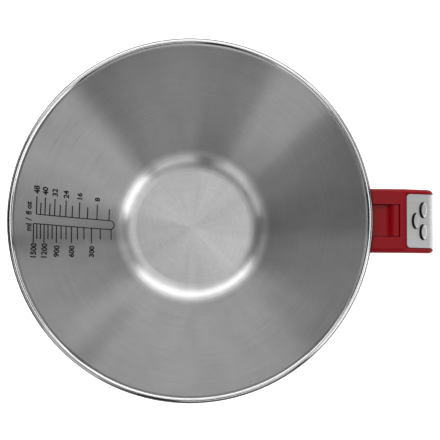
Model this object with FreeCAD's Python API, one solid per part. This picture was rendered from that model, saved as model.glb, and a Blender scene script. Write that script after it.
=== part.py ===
import FreeCAD
import Part
import math
import os
from FreeCAD import Vector

# Digital kitchen scale: a mixing bowl that lifts out of a round weighing base, with a hollow
# handle that carries the buttons and the display.
# Millimetres, +Z up. The origin is on the bowl's axis at table height, and +X points to the handle.

# ---- Driving dimensions ------------------------------------------------------------------

# Bowl, pressed from one sheet. Its section is a path: flat floor, corner, bowed wall, rolled rim.
SHEET = 0.9
FLOOR_Z = 28.0
FLOOR_R = 43.0
CORNER_R = 19.5
CORNER_TURN = 44.0
WALL_R = 494.0
WALL_TURN = 12.0
CURL_R = 1.65
CURL_TURN = 262.0

# Weighing base
FOOT_R_IN = 50.0
FOOT_R_OUT = 60.0
FOOT_T = 2.2
TRAY_Z = 1.2
TRAY_FLOOR = 2.2
TRAY_R = 65.2
TRAY_TOP = 16.0
TRAY_WALL = 2.2
PLATFORM_R = 70.5
SKIRT_Z = 7.5
PLATE_Z = 22.0
PLATE_T = 2.6
SEAT_R_IN = 34.2
SEAT_R_OUT = 41.8

# Load cell bar, along X, fixed at -X and loaded at +X
CELL_L = 70.0
CELL_W = 12.7
CELL_Z = 6.4
CELL_HOLES = (15.0, 28.0)
CELL_WELL_R = 4.2
CELL_WELL_X = 6.5
M4_R = 2.0
WEIGH_TRAVEL = 0.6

# Handle, drawn from the side as two paths and from the front as a tapering outline
HANDLE_TOP = 110.0
ARM_UNDER = 97.0
ARM_START_X = 108.0
TOP_FLAT_END = 147.5
CREST_R = 12.0
PANEL_SLOPE = 15.0
PANEL_L = 15.0
SHOULDER_R = 6.5
GRIP_T = 18.0
GRIP_L = 33.0
SWEEP_R = 58.0
ARM_INNER_R = 8.0
ROOT_X = 62.0
HALF_W = 22.3
TAPER_R = 150.0
TAPER_DEG = 5.0
TAPER_TOP = 105.0
TAPER_L = 52.3
WALL = 2.2
FACE_WALL = 3.0
EDGE_R = 3.0

# Fascia, a steel plate let into the handle's crest and outer face
FASCIA_T = 1.0
FASCIA_X = 150.0
FASCIA_MARGIN = 3.7
FASCIA_GAP = 0.6
FASCIA_END_Z = 38.0
FASCIA_CORNER = 2.5

# Push-buttons: oval, three in a triangle on the sloping panel
BUTTON_A = 2.6
BUTTON_B = 5.4
BUTTON_PROUD = 1.4
BUTTON_TRAVEL = 0.8
BUTTON_GAP = 0.3
BUTTONS = {
    "button_power_tare": (161.7, 7.6),
    "button_unit": (156.2, 0.0),
    "button_timer": (161.7, -7.6),
}

# Switches under the push-buttons, as depths below the panel
SWITCH_TOP = -6.9
SWITCH_BODY = -8.1
SWITCH_SEAT = -10.1

# Display in the outer face
WINDOW_Z = 83.0
WINDOW_W = 30.0
WINDOW_H = 15.0
LCD_T = 2.6
LCD_HALF_W = 17.0
LCD_H = 19.0

# Circuit board in the base
BOARD_T = 1.6
BOARD_Z = 17.0
BOARD_X = 20.0
BOARD_Y0 = 14.0
BOARD_Y1 = 42.0

# Rim catch, a sprung lever in the top of the handle
CATCH_X = 141.2
CATCH_Z = 105.6
CATCH_BARREL_R = 3.7
CATCH_HALF_W = 10.9
CATCH_SLOT_GAP = 0.4
CATCH_END = CATCH_X + CATCH_BARREL_R
PIN_R = 1.25
PIN_HALF_L = 14.2

# Coin cell under the lower arm
BATTERY_X = 98.4
CAP_R = 12.9
CELL_COIN_R = 10.0
CELL_COIN_T = 3.2

BIG = 400.0
OUT = "parts"


# ---- Drawing helpers ---------------------------------------------------------------------

def in_xz(u, v):
    return Vector(u, 0, v)


def in_yz(u, v):
    return Vector(0, u, v)


def trail(start, heading, steps, side=0.0, plane=in_xz):
    """Edges of a path of lines and arcs that follow each other smoothly.

    Each step is ("line", length) or ("arc", radius, turn), where a turn is in degrees and
    positive to the left. The path is drawn `side` millimetres to the left of the one described.
    """
    x, y = start
    h = math.radians(heading)
    edges = []

    def shifted(px, py, angle):
        return plane(px - side * math.sin(angle), py + side * math.cos(angle))

    for step in steps:
        if step[0] == "line":
            x2 = x + step[1] * math.cos(h)
            y2 = y + step[1] * math.sin(h)
            edges.append(Part.LineSegment(shifted(x, y, h), shifted(x2, y2, h)).toShape())
            x, y = x2, y2
            continue
        radius, turn = step[1], math.radians(step[2])
        hand = 1 if turn > 0 else -1
        cx = x - hand * radius * math.sin(h)
        cy = y + hand * radius * math.cos(h)

        def at(angle):
            return cx + hand * radius * math.sin(angle), cy - hand * radius * math.cos(angle)

        ends = [shifted(*at(h + turn * part), h + turn * part) for part in (0.0, 0.5, 1.0)]
        edges.append(Part.Arc(*ends).toShape())
        h += turn
        x, y = at(h)
    return edges


def first_point(edges):
    return edges[0].firstVertex(True).Point


def last_point(edges):
    return edges[-1].lastVertex(True).Point


def join(points):
    return Part.LineSegment(points[0], points[1]).toShape()


def between(path_a, path_b):
    """Face between two paths that run the same way."""
    ends = [(last_point(path_a), last_point(path_b)), (first_point(path_b), first_point(path_a))]
    closing = [join(pair) for pair in ends if pair[0].distanceToPoint(pair[1]) > 1e-6]
    wire = Part.Wire(Part.__sortEdges__(path_a + path_b + closing))
    return Part.Face(wire)


def polygon(points, plane=in_xz):
    corners = [plane(*p) for p in points]
    return Part.Face(Part.makePolygon(corners + corners[:1]))


def revolve(face):
    return face.revolve(Vector(0, 0, 0), Vector(0, 0, 1), 360)


def along_y(face, half):
    solid = face.extrude(Vector(0, 2 * half, 0))
    solid.translate(Vector(0, -half, 0))
    return solid


def box(x0, x1, y0, y1, z0, z1):
    return Part.makeBox(x1 - x0, y1 - y0, z1 - z0, Vector(x0, y0, z0))


def rod(radius, z0, z1, x=0.0, y=0.0):
    return Part.makeCylinder(radius, z1 - z0, Vector(x, y, z0))


def ring(r_in, r_out, z0, z1, x=0.0, y=0.0):
    return rod(r_out, z0, z1, x, y).cut(rod(r_in, z0 - 1, z1 + 1, x, y))


def oval(a, b, z0, z1):
    """Elliptical prism, a along X and b along Y."""
    curve = Part.Ellipse(Vector(0, 0, z0), max(a, b), min(a, b))
    shape = curve.toShape()
    if b > a:
        shape.rotate(Vector(0, 0, z0), Vector(0, 0, 1), 90)
    return Part.Face(Part.Wire([shape])).extrude(Vector(0, 0, z1 - z0))


def screw(tip, head, shank_r, head_r, head_h):
    """Pan-head screw from its tip to the top of its shank, with a cross recess in the head."""
    axis = head.sub(tip)
    length = axis.Length
    body = Part.makeCylinder(shank_r, length)
    cap = Part.makeCylinder(head_r, head_h, Vector(0, 0, length))
    cap = cap.makeFillet(head_h * 0.4, [cap.Edges[0]])
    for turn in (0, 90):
        slot = box(-head_r * 0.6, head_r * 0.6, -0.3, 0.3, length + head_h * 0.4, length + head_h + 1)
        slot.rotate(Vector(0, 0, 0), Vector(0, 0, 1), turn)
        cap = cap.cut(slot)
    whole = body.fuse(cap)
    whole.Placement = FreeCAD.Placement(tip, FreeCAD.Rotation(Vector(0, 0, 1), axis))
    return whole


def bent_tube(points, radius):
    """Round tube along straight runs joined by tangent arcs, each as large as its runs allow."""
    corners = [Vector(*p) for p in points]
    runs = [b.sub(a) for a, b in zip(corners, corners[1:])]
    edges = []
    here = corners[0]
    for before, after, corner in zip(runs, runs[1:], corners[1:]):
        turn = before.getAngle(after)
        cut = 0.45 * min(before.Length, after.Length)
        d1 = Vector(before).normalize()
        d2 = Vector(after).normalize()
        p1 = corner.sub(d1 * cut)
        p2 = corner.add(d2 * cut)
        bend_r = cut / math.tan(turn / 2)
        inward = Vector(d2).sub(d1).normalize()
        middle = corner.add(inward * (bend_r / math.cos(turn / 2) - bend_r))
        edges.append(join((here, p1)))
        edges.append(Part.Arc(p1, middle, p2).toShape())
        here = p2
    edges.append(join((here, corners[-1])))
    path = Part.Wire(edges)
    circle = Part.Circle(corners[0], runs[0], radius).toShape()
    return path.makePipeShell([Part.Wire([circle])], True, False)


def fused(shapes):
    whole = shapes[0]
    for shape in shapes[1:]:
        whole = whole.fuse(shape)
    return whole.removeSplitter()


# ---- Bowl --------------------------------------------------------------------------------

def bowl_path(side, curl=True):
    steps = [
        ("line", FLOOR_R),
        ("arc", CORNER_R, CORNER_TURN),
        ("arc", WALL_R, WALL_TURN),
    ]
    if curl:
        steps.append(("arc", CURL_R, -CURL_TURN))
    return trail((0, FLOOR_Z - SHEET / 2), 0, steps, side)


def bowl_pressing():
    """Whole bowl, as pressed from one sheet."""
    return revolve(between(bowl_path(SHEET / 2), bowl_path(-SHEET / 2)))


def bowl_floor():
    """Flat middle of the pressing, kept as its own body so that the bowl's inside stays open."""
    return rod(FLOOR_R, FLOOR_Z - SHEET, FLOOR_Z)


def bowl():
    """Corner, wall and rolled rim of the pressing, round the flat middle."""
    return bowl_pressing().cut(rod(FLOOR_R, FLOOR_Z - SHEET - 1, FLOOR_Z + 1))


def bowl_keepout(gap, ledge_z):
    """Space that the bowl needs, grown by gap, with room for its rim to lift straight up."""
    wall = bowl_path(-SHEET / 2 - gap, curl=False)
    top = last_point(wall)
    curl_r = rim_radius() + 0.5
    corners = [top, Vector(curl_r, 0, top.z), Vector(curl_r, 0, BIG), Vector(0, 0, BIG), first_point(wall)]
    closing = [join(pair) for pair in zip(corners, corners[1:])]
    whole = revolve(Part.Face(Part.Wire(Part.__sortEdges__(wall + closing))))
    return whole.fuse(ring(rim_radius() - 6, curl_r, ledge_z, BIG))


def rim_radius():
    """Outer radius of the rolled rim."""
    outside = bowl_path(SHEET / 2)[-1]
    return outside.BoundBox.XMax


# ---- Weighing base -----------------------------------------------------------------------

def base_tray():
    floor_top = TRAY_Z + TRAY_FLOOR
    section = polygon([
        (0, TRAY_Z), (TRAY_R - 2.5, TRAY_Z), (TRAY_R, TRAY_Z + 2.5), (TRAY_R, TRAY_TOP),
        (TRAY_R - TRAY_WALL, TRAY_TOP), (TRAY_R - TRAY_WALL, floor_top), (0, floor_top),
    ])
    tray = revolve(section)
    tray = tray.cut(ring(FOOT_R_IN - 0.2, FOOT_R_OUT + 0.2, TRAY_Z - 1, FOOT_T))
    pedestal = box(-CELL_L / 2 - 1, -9.0, -8.0, 8.0, floor_top, CELL_Z)
    stop = rod(4.5, floor_top, CELL_Z - 1.5, CELL_HOLES[1])
    tray = fused([tray, pedestal, stop])
    for angle in range(0, 360, 45):
        rib = box(48.0, TRAY_R - TRAY_WALL, -0.8, 0.8, floor_top, floor_top + 5.0)
        rib.rotate(Vector(0, 0, 0), Vector(0, 0, 1), angle + 22.5)
        tray = tray.fuse(rib)
    for x in CELL_HOLES:
        tray = tray.cut(rod(M4_R + 0.25, 0, CELL_Z + 1, -x))
        tray = tray.cut(rod(4.0, 0, TRAY_Z + 2.6, -x))
    tray = tray.cut(rod(1.5, floor_top + 0.2, CELL_Z, CELL_HOLES[1]))
    return tray.removeSplitter()


def foot_ring():
    whole = ring(FOOT_R_IN, FOOT_R_OUT, 0, FOOT_T)
    for r in (53.3, 56.7):
        whole = whole.cut(ring(r - 0.4, r + 0.4, -1, 0.5))
    return whole


def load_cell():
    top = CELL_Z + CELL_W
    bar = box(-CELL_L / 2, CELL_L / 2, -CELL_W / 2, CELL_W / 2, CELL_Z, top)
    middle = CELL_Z + CELL_W / 2
    for x in (-CELL_WELL_X, CELL_WELL_X):
        well = Part.makeCylinder(CELL_WELL_R, 40, Vector(x, -20, middle), Vector(0, 1, 0))
        bar = bar.cut(well)
    bar = bar.cut(box(-CELL_WELL_X, CELL_WELL_X, -20, 20, middle - 2.2, middle + 2.2))
    for x in CELL_HOLES:
        for sign in (-1, 1):
            bar = bar.cut(rod(M4_R + 0.15, CELL_Z - 1, top + 1, sign * x))
    return bar


def gauge_potting():
    """Soft white cover over the strain gauges, on the bar's top and under it."""
    pads = []
    for z in (CELL_Z - 0.9, CELL_Z + CELL_W):
        pad = box(-8.8, 11.0, -5.0, 5.0, z, z + 0.9)
        pads.append(pad)
    return Part.makeCompound(pads)


def cell_base_screws():
    shapes = []
    for x in CELL_HOLES:
        tip = Vector(-x, 0, CELL_Z + 9.0)
        shapes.append(screw(tip, Vector(-x, 0, TRAY_Z + 2.6), M4_R, 3.5, 2.2))
    return Part.makeCompound(shapes)


def overload_stop_screw():
    x = CELL_HOLES[1]
    pin = rod(1.5, TRAY_Z + TRAY_FLOOR + 0.2, CELL_Z - WEIGH_TRAVEL - 0.2, x)
    return pin.cut(box(x - 1.2, x + 1.2, -0.25, 0.25, CELL_Z - WEIGH_TRAVEL - 0.8, CELL_Z))


def platform():
    """Upper half of the base: bowl seat, skirt over the tray, and the spigot for the handle."""
    top = PLATE_Z + PLATE_T
    outline = [
        (0, PLATE_Z), (56.0, PLATE_Z), (63.5, 25.0), (66.8, 19.0), (67.2, SKIRT_Z),
        (PLATFORM_R - 0.8, SKIRT_Z), (PLATFORM_R, SKIRT_Z + 1.0), (PLATFORM_R, 22.0), (69.6, 27.0),
        (67.6, 32.0), (65.0, 35.6), (63.6, 36.4), (62.4, 36.2), (58.4, 31.6), (53.5, 27.4),
        (47.5, 25.2), (42.5, top), (0, top),
    ]
    body = revolve(polygon(outline))
    body = body.cut(ring(SEAT_R_IN - 0.2, SEAT_R_OUT + 0.2, 24.0, top + 1))
    spacer = box(11.5, CELL_L / 2 + 1, -8.0, 8.0, CELL_Z + CELL_W + 1.2, PLATE_Z + 0.5)
    spigot = box(66.5, 84.2, -14.3, 14.3, 11.7, 24.0)
    spigot = spigot.cut(box(60, 90, -11.8, 11.8, 14.2, 21.8))
    body = fused([body, spacer, spigot])
    body = body.cut(box(60, 75, -11.8, 11.8, 14.2, 21.8))
    for x in CELL_HOLES:
        body = body.cut(rod(M4_R + 0.25, CELL_Z, top + 1, x))
        body = body.cut(rod(4.0, top - 2.4, top + 1, x))
    for x, y in board_posts():
        post = rod(2.6, BOARD_Z + BOARD_T, PLATE_Z + 0.5, x, y)
        body = body.fuse(post).cut(rod(0.9, BOARD_Z - 1, PLATE_Z - 0.2, x, y))
    for y in (-8.8, 8.8):
        body = body.cut(rod(1.1, 11.0, 14.3, 77.5, y))
    return body.removeSplitter()


def seat_ring():
    whole = ring(SEAT_R_IN, SEAT_R_OUT, 24.0, FLOOR_Z - SHEET)
    return whole.cut(ring(37.4, 38.6, FLOOR_Z - SHEET - 0.6, FLOOR_Z))


def cell_spacer():
    """Hard washer plate between the bar's loaded end and the platform."""
    plate = box(11.5, CELL_L / 2, -6.3, 6.3, CELL_Z + CELL_W, CELL_Z + CELL_W + 1.2)
    for x in CELL_HOLES:
        plate = plate.cut(rod(M4_R + 0.2, 0, 40, x))
    return plate


def cell_platform_screws():
    shapes = []
    head_z = PLATE_Z + PLATE_T - 2.4
    for x in CELL_HOLES:
        shapes.append(screw(Vector(x, 0, CELL_Z + 3.0), Vector(x, 0, head_z), M4_R, 3.5, 2.0))
    return Part.makeCompound(shapes)


# ---- Boards in the base ------------------------------------------------------------------

def board_posts():
    return [(x, y) for x in (-BOARD_X + 3.5, BOARD_X - 3.5) for y in (BOARD_Y0 + 3.5, BOARD_Y1 - 3.5)]


def main_board():
    board = box(-BOARD_X, BOARD_X, BOARD_Y0, BOARD_Y1, BOARD_Z, BOARD_Z + BOARD_T)
    for x, y in board_posts():
        board = board.cut(rod(1.3, 0, 40, x, y))
    return board


def board_chips():
    chips = [
        box(-6, 4, 22, 32, BOARD_Z - 1.8, BOARD_Z),
        box(7, 12, 20, 26, BOARD_Z - 1.5, BOARD_Z),
        box(-13, -8.5, 24, 31, BOARD_Z - 1.2, BOARD_Z),
        rod(2.5, BOARD_Z - 5.5, BOARD_Z, 9.5, 35.0),
        rod(2.5, BOARD_Z - 5.5, BOARD_Z, -10.5, 37.0),
    ]
    return Part.makeCompound(chips)


def board_connectors():
    """White sockets for the load cell lead and the handle's harness."""
    sockets = []
    for x0, x1, y0, y1 in ((13.5, 19.5, 25.0, 34.5), (-4.0, 6.0, 14.5, 19.5)):
        socket = box(x0, x1, y0, y1, BOARD_Z - 5.0, BOARD_Z)
        sockets.append(socket.cut(box(x0 + 1, x1 - 1, y0 + 1, y1 - 1, BOARD_Z - 6, BOARD_Z - 1.5)))
    return Part.makeCompound(sockets)


def board_screws():
    shapes = []
    for x, y in board_posts():
        shapes.append(screw(Vector(x, y, BOARD_Z + 4.2), Vector(x, y, BOARD_Z), 0.9, 2.0, 1.2))
    return Part.makeCompound(shapes)


def buzzer():
    disc = rod(10.0, PLATE_Z - 3.2, PLATE_Z, 0, -28.0)
    return disc.cut(rod(1.2, PLATE_Z - 4, PLATE_Z - 1.5, 0, -28.0))


# ---- Handle ------------------------------------------------------------------------------

def outer_path(side=0.0, start_x=ARM_START_X):
    steps = [
        ("line", TOP_FLAT_END - start_x),
        ("arc", CREST_R, -PANEL_SLOPE),
        ("line", PANEL_L),
        ("arc", SHOULDER_R, PANEL_SLOPE - 90),
        ("line", GRIP_L),
        ("arc", SWEEP_R, -90),
    ]
    end_x = last_point(trail((start_x, HANDLE_TOP), 0, steps)).x
    steps.append(("line", end_x - ROOT_X))
    return trail((start_x, HANDLE_TOP), 0, steps, side)


def grip_x():
    """X of the handle's vertical outer face."""
    return max(e.BoundBox.XMax for e in outer_path())


def sweep_centre():
    arc = outer_path()[5]
    return arc.Curve.Center


def inner_path(side=0.0):
    x = grip_x() - GRIP_T
    centre = sweep_centre()
    corner_x = x - ARM_INNER_R
    steps = [
        ("line", corner_x - ARM_START_X),
        ("arc", ARM_INNER_R, -90),
        ("line", ARM_UNDER - ARM_INNER_R - centre.z),
        ("arc", SWEEP_R - GRIP_T, -90),
        ("line", centre.x - ROOT_X),
    ]
    return trail((ARM_START_X, ARM_UNDER), 0, steps, side)


def front_outline(inset=0.0, low=None, corner=0.0):
    """Solid with the handle's tapering width, inset all round, endless along X."""
    steps = [
        ("line", 140 - TAPER_TOP),
        ("arc", TAPER_R, -TAPER_DEG),
        ("line", TAPER_L),
        ("arc", TAPER_R, TAPER_DEG),
        ("line", 60),
    ]
    right = trail((HALF_W, 140), -90, steps, -inset, in_yz)
    left = [e.mirror(Vector(0, 0, 0), Vector(0, 1, 0)) for e in right]
    solid = between(right, left).extrude(Vector(BIG, 0, 0))
    if low is None:
        return solid
    half = HALF_W
    cut = box(-1, BIG, -half, half, low, 200)
    solid = solid.common(cut)
    edges = [
        e for e in solid.Edges
        if abs(e.BoundBox.ZMin - low) < 1e-4 and e.BoundBox.ZLength < 1e-4 and e.BoundBox.XLength > 100
    ]
    return solid.makeFillet(corner, edges) if corner else solid


def handle_block():
    """Outer form of the whole handle, with its long edges rounded."""
    face = between(outer_path(), inner_path())
    block = along_y(face, 40).common(front_outline())
    long_edges = []
    for edge in block.Edges:
        middle = edge.valueAt((edge.FirstParameter + edge.LastParameter) / 2)
        ends = edge.BoundBox
        at_end = ends.XMax < ROOT_X + 0.01 or (ends.XMax < ARM_START_X + 0.01 and middle.z > 60)
        if ends.YLength < 12 and abs(middle.y) > 10 and not at_end:
            long_edges.append(edge)
    return block.makeFillet(EDGE_R, long_edges)


def root_cut():
    """The round skirt of the platform, grown by a hair, that the lower arm butts against."""
    return rod(PLATFORM_R + 0.15, -10, 60)


def handle_shell():
    shell = handle_block()
    channel = along_y(between(outer_path(-FACE_WALL), inner_path(-5.0)), 40)
    channel = channel.common(front_outline(WALL)).cut(bowl_keepout(1.0 + WALL, 104.0))
    shell = shell.cut(channel).cut(bowl_keepout(1.0, 107.4)).cut(root_cut())
    # Lever slot, and the lugs that hold its pin
    slot_w = CATCH_HALF_W + CATCH_SLOT_GAP
    shell = shell.cut(box(100, CATCH_END + 0.3, -slot_w, slot_w, 99.8, 130))
    for sign in (-1, 1):
        y0, y1 = sorted((sign * slot_w, sign * (PIN_HALF_L + 0.2)))
        lug = box(CATCH_X - 4.5, CATCH_X + 4.5, y0, y1, CATCH_Z - 4.0, HANDLE_TOP - 1.5)
        shell = shell.fuse(lug)
    pin_start = Vector(CATCH_X, -PIN_HALF_L, CATCH_Z)
    pin_hole = Part.makeCylinder(PIN_R, 2 * PIN_HALF_L, pin_start, Vector(0, 1, 0))
    shell = shell.cut(pin_hole)
    # Recess for the fascia, the buttons' holes and the window's hole
    shell = shell.cut(fascia_band(FASCIA_GAP, FASCIA_T, -2.0))
    for place in BUTTONS.values():
        hole = on_panel(oval(BUTTON_A + BUTTON_GAP, BUTTON_B + BUTTON_GAP, -8, 3), place)
        shell = shell.cut(hole)
    shell = shell.cut(window_box(0.1, grip_x() - 10, grip_x() + 5))
    # Screw bosses
    for tip, head in handle_screw_axes():
        shell = shell.fuse(boss_for(tip, head, 3.0))
    for tip, head in handle_screw_axes():
        shell = shell.cut(boss_for(tip, head, 0.95, 1.0))
    # Battery opening
    low = HANDLE_TOP - total_drop()
    shell = shell.cut(rod(CAP_R + 0.4, low - 1, low + 2.5, BATTERY_X))
    shell = shell.cut(rod(CAP_R - 0.7, low - 1, low + FACE_WALL + 1, BATTERY_X))
    for y in (-8.8, 8.8):
        shell = shell.cut(rod(1.3, low - 1, 12, 77.5, y))
        shell = shell.cut(rod(2.8, low - 1, low + 1.6, 77.5, y))
    return shell.removeSplitter()


def total_drop():
    """Height from the handle's top to its underside at the lower arm."""
    return HANDLE_TOP - last_point(outer_path()).z


def handle_cover():
    """Finger side of the handle, let in between the shell's side walls."""
    band = along_y(between(inner_path(WALL), inner_path()), 40)
    cover = band.common(front_outline(WALL + 0.15))
    cover = cover.cut(bowl_keepout(1.15 + WALL, 104.0)).cut(root_cut())
    for tip, head in handle_screw_axes():
        cover = cover.cut(boss_for(tip, head, 1.25, 8.0))
        cover = cover.cut(recess_for(tip, head))
    return cover.removeSplitter()


def handle_screw_axes():
    """(tip, seat of the head) of each screw that holds the cover to the shell."""
    pairs = []
    for y in (-16.0, 16.0):
        pairs.append((Vector(129, y, ARM_UNDER + 8.5), Vector(129, y, ARM_UNDER + 1.2)))
    centre = sweep_centre()
    for angle, y in ((52.0, -9.5), (52.0, 9.5)):
        a = math.radians(angle)
        out = Vector(math.sin(a), 0, -math.cos(a))
        seat = centre.add(out * (SWEEP_R - GRIP_T + 1.2))
        tip = centre.add(out * (SWEEP_R - FACE_WALL - 1.5))
        pairs.append((Vector(tip.x, y, tip.z), Vector(seat.x, y, seat.z)))
    return pairs


def boss_for(tip, head, radius, spare=0.0):
    """Post round a screw, from the cover's inner face to past the screw's tip."""
    axis = Vector(tip.sub(head)).normalize()
    start = head.add(axis * (WALL - 1.2))
    if spare > 1.0:
        start = head.sub(axis * spare)
    end = tip.add(axis * (2.0 if spare == 0 else 0.5))
    return Part.makeCylinder(radius, end.sub(start).Length, start, axis)


def recess_for(tip, head):
    axis = Vector(head.sub(tip)).normalize()
    return Part.makeCylinder(2.6, 10, head, axis)


def handle_screws():
    return Part.makeCompound([screw(tip, head, 0.95, 2.3, 1.0) for tip, head in handle_screw_axes()])


def spigot_screws():
    low = HANDLE_TOP - total_drop()
    shapes = []
    for y in (-8.8, 8.8):
        shapes.append(screw(Vector(77.5, y, 13.9), Vector(77.5, y, low + 1.6), 1.1, 2.5, 1.3))
    return Part.makeCompound(shapes)


# ---- Fascia, display and buttons ---------------------------------------------------------

def fascia_band(grow, depth, lift=0.0):
    """Bent strip that follows the crest and outer face, grown sideways for its recess."""
    strip = along_y(between(outer_path(-lift), outer_path(-depth)), 40)
    inset = FASCIA_MARGIN - grow
    strip = strip.common(front_outline(inset, FASCIA_END_Z - grow, FASCIA_CORNER))
    x0 = FASCIA_X - grow
    plan = box(x0, BIG, -HALF_W + inset, HALF_W - inset, 20, 200)
    corners = [
        e for e in plan.Edges
        if e.BoundBox.ZLength > 100 and abs(e.BoundBox.XMax - x0) < 1e-4
    ]
    return strip.common(plan.makeFillet(FASCIA_CORNER, corners))


def fascia_plate():
    plate = fascia_band(0.0, FASCIA_T)
    for place in BUTTONS.values():
        plate = plate.cut(on_panel(oval(BUTTON_A + BUTTON_GAP, BUTTON_B + BUTTON_GAP, -8, 3), place))
    return plate.cut(window_box(0.1, grip_x() - 10, grip_x() + 5))


def panel_angle():
    return FreeCAD.Rotation(Vector(0, 1, 0), PANEL_SLOPE)


def on_panel(shape, place):
    """Puts a shape drawn about the origin, +Z outwards, on the sloping panel at (x, y)."""
    panel = outer_path()[2]
    start = panel.firstVertex(True).Point
    x, y = place
    z = start.z - (x - start.x) * math.tan(math.radians(PANEL_SLOPE))
    shape = shape.copy()
    shape.Placement = FreeCAD.Placement(Vector(x, y, z), panel_angle())
    return shape


def button(place):
    """Oval cap with a flange that keeps it in, and a stem over its switch."""
    cap = oval(BUTTON_A, BUTTON_B, -4.2, BUTTON_PROUD)
    top = [e for e in cap.Edges if abs(e.BoundBox.ZMin - BUTTON_PROUD) < 1e-4 and e.BoundBox.ZLength < 1e-4]
    cap = cap.makeFillet(BUTTON_PROUD - 0.3, top)
    flange = oval(BUTTON_A + 0.7, BUTTON_B + 0.6, -4.4, -3.4)
    stem = rod(1.4, -6.0, -4.0)
    return on_panel(fused([cap, flange, stem]), place)


def window_box(grow, x0, x1):
    body = box(
        x0, x1, -WINDOW_W / 2 - grow, WINDOW_W / 2 + grow,
        WINDOW_Z - WINDOW_H / 2 - grow, WINDOW_Z + WINDOW_H / 2 + grow,
    )
    edges = [e for e in body.Edges if e.BoundBox.YLength + e.BoundBox.ZLength < 1e-4]
    return body.makeFillet(1.5, edges)


def display_window():
    return window_box(0.0, grip_x() - 2.8, grip_x() - 0.2)


def display_gasket():
    x1 = grip_x() - FACE_WALL
    outer = window_box(2.2, x1 - 0.4, x1)
    return outer.cut(window_box(-0.8, x1 - 5, x1 + 5))


def lcd_x():
    return grip_x() - FACE_WALL - 0.4 - LCD_T


def lcd_glass():
    z0 = WINDOW_Z - LCD_H / 2
    front = box(lcd_x() + 1.3, lcd_x() + LCD_T, -LCD_HALF_W, LCD_HALF_W, z0 + 1.5, z0 + LCD_H - 1.5)
    back = box(lcd_x(), lcd_x() + 1.3, -LCD_HALF_W, LCD_HALF_W, z0, z0 + LCD_H)
    return fused([front, back])


def zebra_strips():
    z0 = WINDOW_Z - LCD_H / 2
    strips = [
        box(lcd_x() - 2.0, lcd_x(), -15, 15, z0 + 0.3, z0 + 2.1),
        box(lcd_x() - 2.0, lcd_x(), -15, 15, z0 + LCD_H - 2.1, z0 + LCD_H - 0.3),
    ]
    return Part.makeCompound(strips)


def display_board_x():
    return lcd_x() - 2.0 - BOARD_T


def display_board():
    x = display_board_x()
    board = box(x, x + BOARD_T, -17.2, 17.2, WINDOW_Z - 14, WINDOW_Z + 10.0)
    for y in (-12.0, 12.0):
        board = board.cut(Part.makeCylinder(1.1, 10, Vector(x - 1, y, WINDOW_Z - 12), Vector(1, 0, 0)))
    return board


def display_board_chip():
    """Potted driver chip and the socket for the harness, on the back of the display board."""
    x = display_board_x()
    blob = Part.makeSphere(9.0, Vector(x + 7.2, 0, WINDOW_Z)).common(box(x - 5, x, -9, 9, 60, 100))
    socket = box(x - 4.0, x, -5.0, 5.0, WINDOW_Z - 13.5, WINDOW_Z - 8.5)
    return Part.makeCompound([blob, socket])


def display_board_screws():
    x = display_board_x()
    shapes = []
    for y in (-12.0, 12.0):
        z = WINDOW_Z - 12
        shapes.append(screw(Vector(x + 5.0, y, z), Vector(x, y, z), 0.9, 2.0, 1.0))
    return Part.makeCompound(shapes)


def button_board():
    place = (159.4, 0.0)
    board = box(-5.9, 5.9, -15.0, 15.0, SWITCH_SEAT - 1.2, SWITCH_SEAT)
    for y in (-13.2, 13.2):
        board = board.cut(rod(0.9, -20, 0, -3.0, y))
    return on_panel(board, place)


def button_switches():
    shapes = []
    for place in BUTTONS.values():
        body = box(-2.25, 2.25, -2.25, 2.25, SWITCH_SEAT, SWITCH_BODY)
        plunger = rod(1.3, SWITCH_BODY, SWITCH_TOP)
        shapes.append(on_panel(body.fuse(plunger), place))
    return Part.makeCompound(shapes)


# ---- Rim catch ---------------------------------------------------------------------------

def catch_lever():
    """Lever with a lip over its pin and a thumb dip, ending under the bowl's rim."""
    lip_z = HANDLE_TOP - 0.5
    corner = CATCH_END - 0.8
    round_middle = (CATCH_END - 0.23, lip_z - 0.23)
    outline = [
        join((in_xz(124.6, 107.0), in_xz(135.4, 107.3))),
        Part.Arc(in_xz(135.4, 107.3), in_xz(138.4, 108.0), in_xz(141.0, lip_z)).toShape(),
        join((in_xz(141.0, lip_z), in_xz(corner, lip_z))),
        Part.Arc(in_xz(corner, lip_z), in_xz(*round_middle), in_xz(CATCH_END, lip_z - 0.8)).toShape(),
        join((in_xz(CATCH_END, lip_z - 0.8), in_xz(CATCH_END, CATCH_Z))),
        join((in_xz(CATCH_END, CATCH_Z), in_xz(CATCH_X - 1.0, 103.2))),
        Part.Arc(in_xz(CATCH_X - 1.0, 103.2), in_xz(133.0, 103.7), in_xz(124.0, 104.2)).toShape(),
        join((in_xz(124.0, 104.2), in_xz(124.6, 107.0))),
    ]
    blade = along_y(Part.Face(Part.Wire(Part.__sortEdges__(outline))), CATCH_HALF_W)
    barrel = Part.makeCylinder(
        CATCH_BARREL_R, 2 * CATCH_HALF_W, Vector(CATCH_X, -CATCH_HALF_W, CATCH_Z), Vector(0, 1, 0)
    )
    lever = blade.fuse(barrel)
    bore = Part.makeCylinder(PIN_R + 0.05, 40, Vector(CATCH_X, -20, CATCH_Z), Vector(0, 1, 0))
    pocket = box(CATCH_X - 2.8, CATCH_X + 5, -4.4, 4.4, CATCH_Z - 6, CATCH_Z + 2.6)
    return lever.cut(bore).cut(pocket).removeSplitter()


def catch_pad():
    """Soft tip that bears on the bowl just under its rolled rim."""
    face = polygon([(124.6, 107.0), (124.0, 104.2), (120.6, 104.6), (121.6, 106.8)])
    return along_y(face, 9.0)


def catch_pin():
    half = PIN_HALF_L
    return Part.makeCylinder(PIN_R, 2 * half, Vector(CATCH_X, -half, CATCH_Z), Vector(0, 1, 0))


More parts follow.
